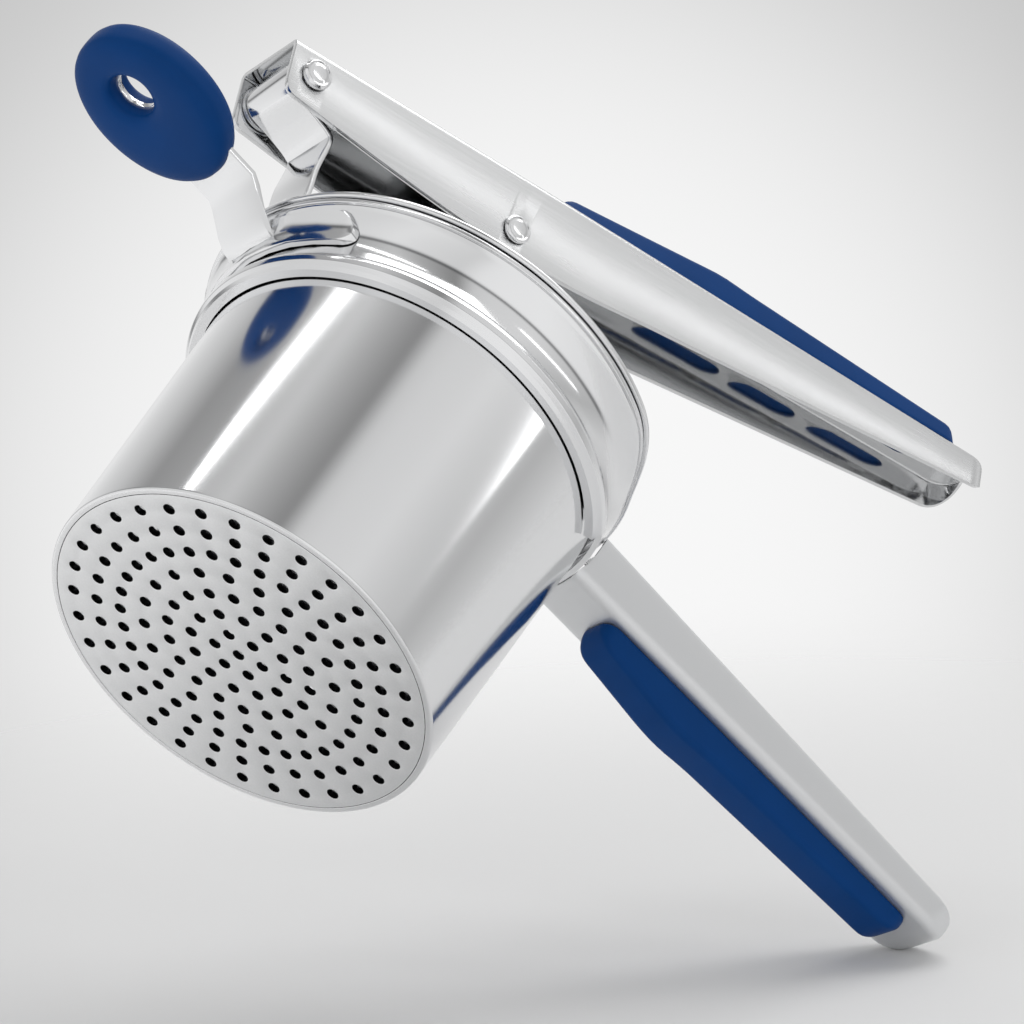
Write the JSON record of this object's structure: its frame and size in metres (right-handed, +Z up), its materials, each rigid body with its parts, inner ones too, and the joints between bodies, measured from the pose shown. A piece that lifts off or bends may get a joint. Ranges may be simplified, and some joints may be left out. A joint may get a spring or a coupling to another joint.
{
  "type": "potato ricer",
  "caption": "Hand press: perforated round basket in a flared steel ring, hinged lever with a press plate on a stem, two channel handles with soft grips, and a hanging tab.",
  "frame": {"origin": "on the level of the basket's underside, midway between the handle's tip and the hanging tab's end, on the plane of symmetry", "axes": "+Z up the basket's axis towards its mouth, +X along the handles towards their tips, Y along the hinge pins"},
  "size_m": [0.2658, 0.1042, 0.1846],
  "materials": {
    "polished_steel": "mirror polished stainless steel",
    "satin_steel": "satin stainless steel",
    "blue_rubber": "matte dark blue silicone"
  },
  "bodies": {
    "frame": {"frame_ring": "polished_steel", "top_ring": "polished_steel", "lower_handle": "satin_steel", "lower_grip": "blue_rubber", "hinge_bracket": "polished_steel", "rest_tab": "polished_steel", "tab_sleeve": "blue_rubber"},
    "basket": {"basket_shell": "polished_steel", "perforated_base": "satin_steel"},
    "lever": {"lever": "satin_steel", "upper_grip": "blue_rubber", "hinge_pin": "polished_steel", "hinge_bush": "satin_steel", "hinge_washer_near": "satin_steel", "hinge_washer_far": "satin_steel", "plunger_pin": "polished_steel", "plunger_spacer_near": "satin_steel", "plunger_spacer_far": "satin_steel"},
    "plunger": {"plunger_stem": "satin_steel", "press_plate": "satin_steel", "plate_rivet": "satin_steel"}
  },
  "joints": [
    {"name": "lever_hinge", "type": "hinge", "parent": "frame", "child": "lever", "pos_m": [-0.09496, 0, 0.1084], "axis": [0, -1, 0], "range_deg": [-26, 24]},
    {"name": "plunger_hinge", "type": "hinge", "parent": "lever", "child": "plunger", "pos_m": [-0.04097, 0, 0.12098], "axis": [0, -1, 0], "range_deg": [-23.5, 23.5]},
    {"name": "basket_turn", "type": "hinge", "parent": "frame", "child": "basket", "pos_m": [-0.03215, 0, 0], "axis": [0, 0, 1], "continuous": true}
  ],
  "couplings": [
    {"joint": "plunger_hinge", "follows": "lever_hinge", "ratio": -0.89}
  ]
}
